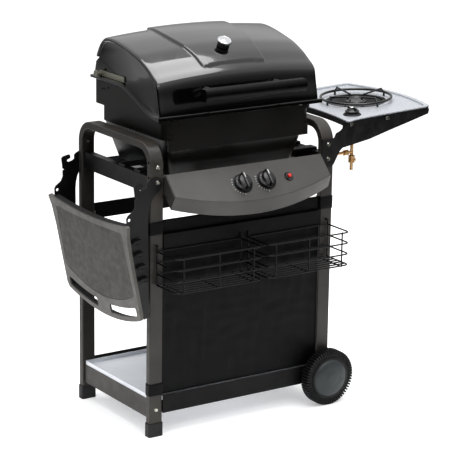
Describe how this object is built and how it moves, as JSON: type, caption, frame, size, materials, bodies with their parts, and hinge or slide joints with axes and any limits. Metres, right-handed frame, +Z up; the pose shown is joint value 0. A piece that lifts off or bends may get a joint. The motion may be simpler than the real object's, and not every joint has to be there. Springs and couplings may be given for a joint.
{
  "type": "gas barbecue grill",
  "caption": "Wheeled gas barbecue cart with a hinged lid, control panel with knobs, fixed side-burner shelf, folding side shelf, wire baskets and a front curtain over the bottom shelf.",
  "frame": {"origin": "middle of the part's outline in plan, on the ground", "axes": "+X towards the wheels and the side burner (the right as the user stands), +Y away from the user, +Z up"},
  "size_m": [1.0524, 0.548, 1.072],
  "materials": {
    "frame_paint": "satin grey powder coat",
    "black_paint": "satin black powder coat",
    "black_plastic": "matt moulded black",
    "knob_plastic": "semi-gloss black",
    "shelf_plastic": "fine-grained warm grey moulding",
    "inlay_plastic": "coarse leather-like grain",
    "silver_shelf": "speckled silver coat",
    "silver_base": "satin silver coat",
    "zinc": "bright zinc plate",
    "tyre": "matt black rubber with moulded lugs",
    "wheel_hub": "grey moulded plastic",
    "curtain_cloth": "black woven nylon",
    "basket_wire": "satin black coated wire",
    "burner_bowl": "black enamel",
    "brass": "plain brass",
    "steel": "plain steel",
    "firebox_cast": "matt brown-black heat-proof coat",
    "tray_zinc": "thin plain sheet",
    "lid_gloss": "high-gloss black enamel",
    "gauge_chrome": "polished",
    "panel_grey": "satin grey paint",
    "red_button": "red"
  },
  "bodies": {
    "root": {"left_side_frame": "frame_paint", "right_side_frame": "frame_paint", "foot_caps": "black_plastic", "leg_plugs": "black_plastic", "upper_side_rails": "black_paint", "upper_front_rail": "frame_paint", "upper_rear_rail": "frame_paint", "lower_side_rails": "frame_paint", "lower_front_rail": "frame_paint", "lower_rear_rail": "frame_paint", "bottom_shelf": "silver_base", "frame_bolts": "zinc", "axle": "zinc", "curtain": "curtain_cloth", "curtain_straps": "curtain_cloth", "basket_left": "basket_wire", "basket_right": "basket_wire", "burner_shelf_top": "silver_shelf", "burner_shelf_skirt": "black_plastic", "burner_shelf_arms": "black_paint", "shelf_bolts": "zinc", "burner_bowl": "burner_bowl", "side_burner": "burner_bowl", "pan_support": "burner_bowl", "side_valve": "brass", "gas_inlet": "brass", "firebox": "firebox_cast", "main_burners": "steel", "flame_tamers": "steel", "cooking_grates": "firebox_cast", "warming_rack": "steel", "hinge_ears": "steel", "control_panel": "panel_grey", "panel_brackets": "black_paint", "manifold": "steel", "igniter_bezel": "black_plastic", "feed_tubes": "brass", "knob_bezels": "black_plastic"},
    "lid": {"lid_shell": "lid_gloss", "lid_hinge_plates": "steel", "lid_handle": "knob_plastic", "lid_handle_posts": "black_plastic", "thermometer": "gauge_chrome"},
    "left_shelf": {"left_shelf_top": "shelf_plastic", "left_shelf_inlay": "inlay_plastic", "left_shelf_skirt": "black_plastic", "left_shelf_arm_front": "black_paint", "left_shelf_arm_rear": "black_paint"},
    "stem_left_body": {"stem_left": "steel"},
    "stem_right_body": {"stem_right": "steel"},
    "knob_left_body": {"knob_left": "knob_plastic"},
    "knob_right_body": {"knob_right": "knob_plastic"},
    "side_stem_body": {"side_stem": "steel"},
    "side_knob_body": {"side_knob": "knob_plastic"},
    "igniter_body": {"igniter_button": "red_button"},
    "wheel_front": {"wheel_front_tyre": "tyre", "wheel_front_hub": "wheel_hub"},
    "wheel_rear": {"wheel_rear_tyre": "tyre", "wheel_rear_hub": "wheel_hub"},
    "tray": {"grease_tray": "tray_zinc"}
  },
  "joints": [
    {"name": "lid_hinge", "type": "hinge", "parent": "root", "child": "lid", "pos_m": [-0.14247, 0.17105, 0.948], "axis": [-1, 0, 0], "range_deg": [0, 80]},
    {"name": "left_shelf_fold", "type": "hinge", "parent": "root", "child": "left_shelf", "pos_m": [-0.42046, 0.02805, 0.712], "axis": [0, 1, 0], "range_deg": [0, 101.4]},
    {"name": "knob_left_press", "type": "slide", "parent": "root", "child": "stem_left_body", "axis": [0, 0.7193, -0.6947], "range_m": [0, 0.0025], "stiffness_N_per_m": 900},
    {"name": "knob_left_turn", "type": "hinge", "parent": "stem_left_body", "child": "knob_left_body", "pos_m": [-0.17747, -0.20724, 0.68828], "axis": [0, -0.7193, 0.6947], "range_deg": [0, 115]},
    {"name": "knob_right_press", "type": "slide", "parent": "root", "child": "stem_right_body", "axis": [0, 0.7193, -0.6947], "range_m": [0, 0.0025], "stiffness_N_per_m": 900},
    {"name": "knob_right_turn", "type": "hinge", "parent": "stem_right_body", "child": "knob_right_body", "pos_m": [-0.10046, -0.20724, 0.68828], "axis": [0, -0.7193, 0.6947], "range_deg": [0, 115]},
    {"name": "side_knob_press", "type": "slide", "parent": "root", "child": "side_stem_body", "axis": [0.0401, 0, -0.9992], "range_m": [0, 0.0025], "stiffness_N_per_m": 900},
    {"name": "side_knob_turn", "type": "hinge", "parent": "side_stem_body", "child": "side_knob_body", "pos_m": [0.25944, -0.10795, 0.81548], "axis": [-0.0401, 0, 0.9992], "range_deg": [0, 115]},
    {"name": "igniter_press", "type": "slide", "parent": "root", "child": "igniter_body", "axis": [0, 0.7193, -0.6947], "range_m": [0, 0.004], "stiffness_N_per_m": 700},
    {"name": "wheel_front_spin", "type": "hinge", "parent": "root", "child": "wheel_front", "pos_m": [0.13553, 0.02805, 0.081], "axis": [0, 1, 0], "continuous": true},
    {"name": "wheel_rear_spin", "type": "hinge", "parent": "root", "child": "wheel_rear", "pos_m": [0.13553, 0.02805, 0.081], "axis": [0, 1, 0], "continuous": true},
    {"name": "tray_slide", "type": "slide", "parent": "root", "child": "tray", "axis": [0, 1, 0], "range_m": [0, 0.28]}
  ]
}
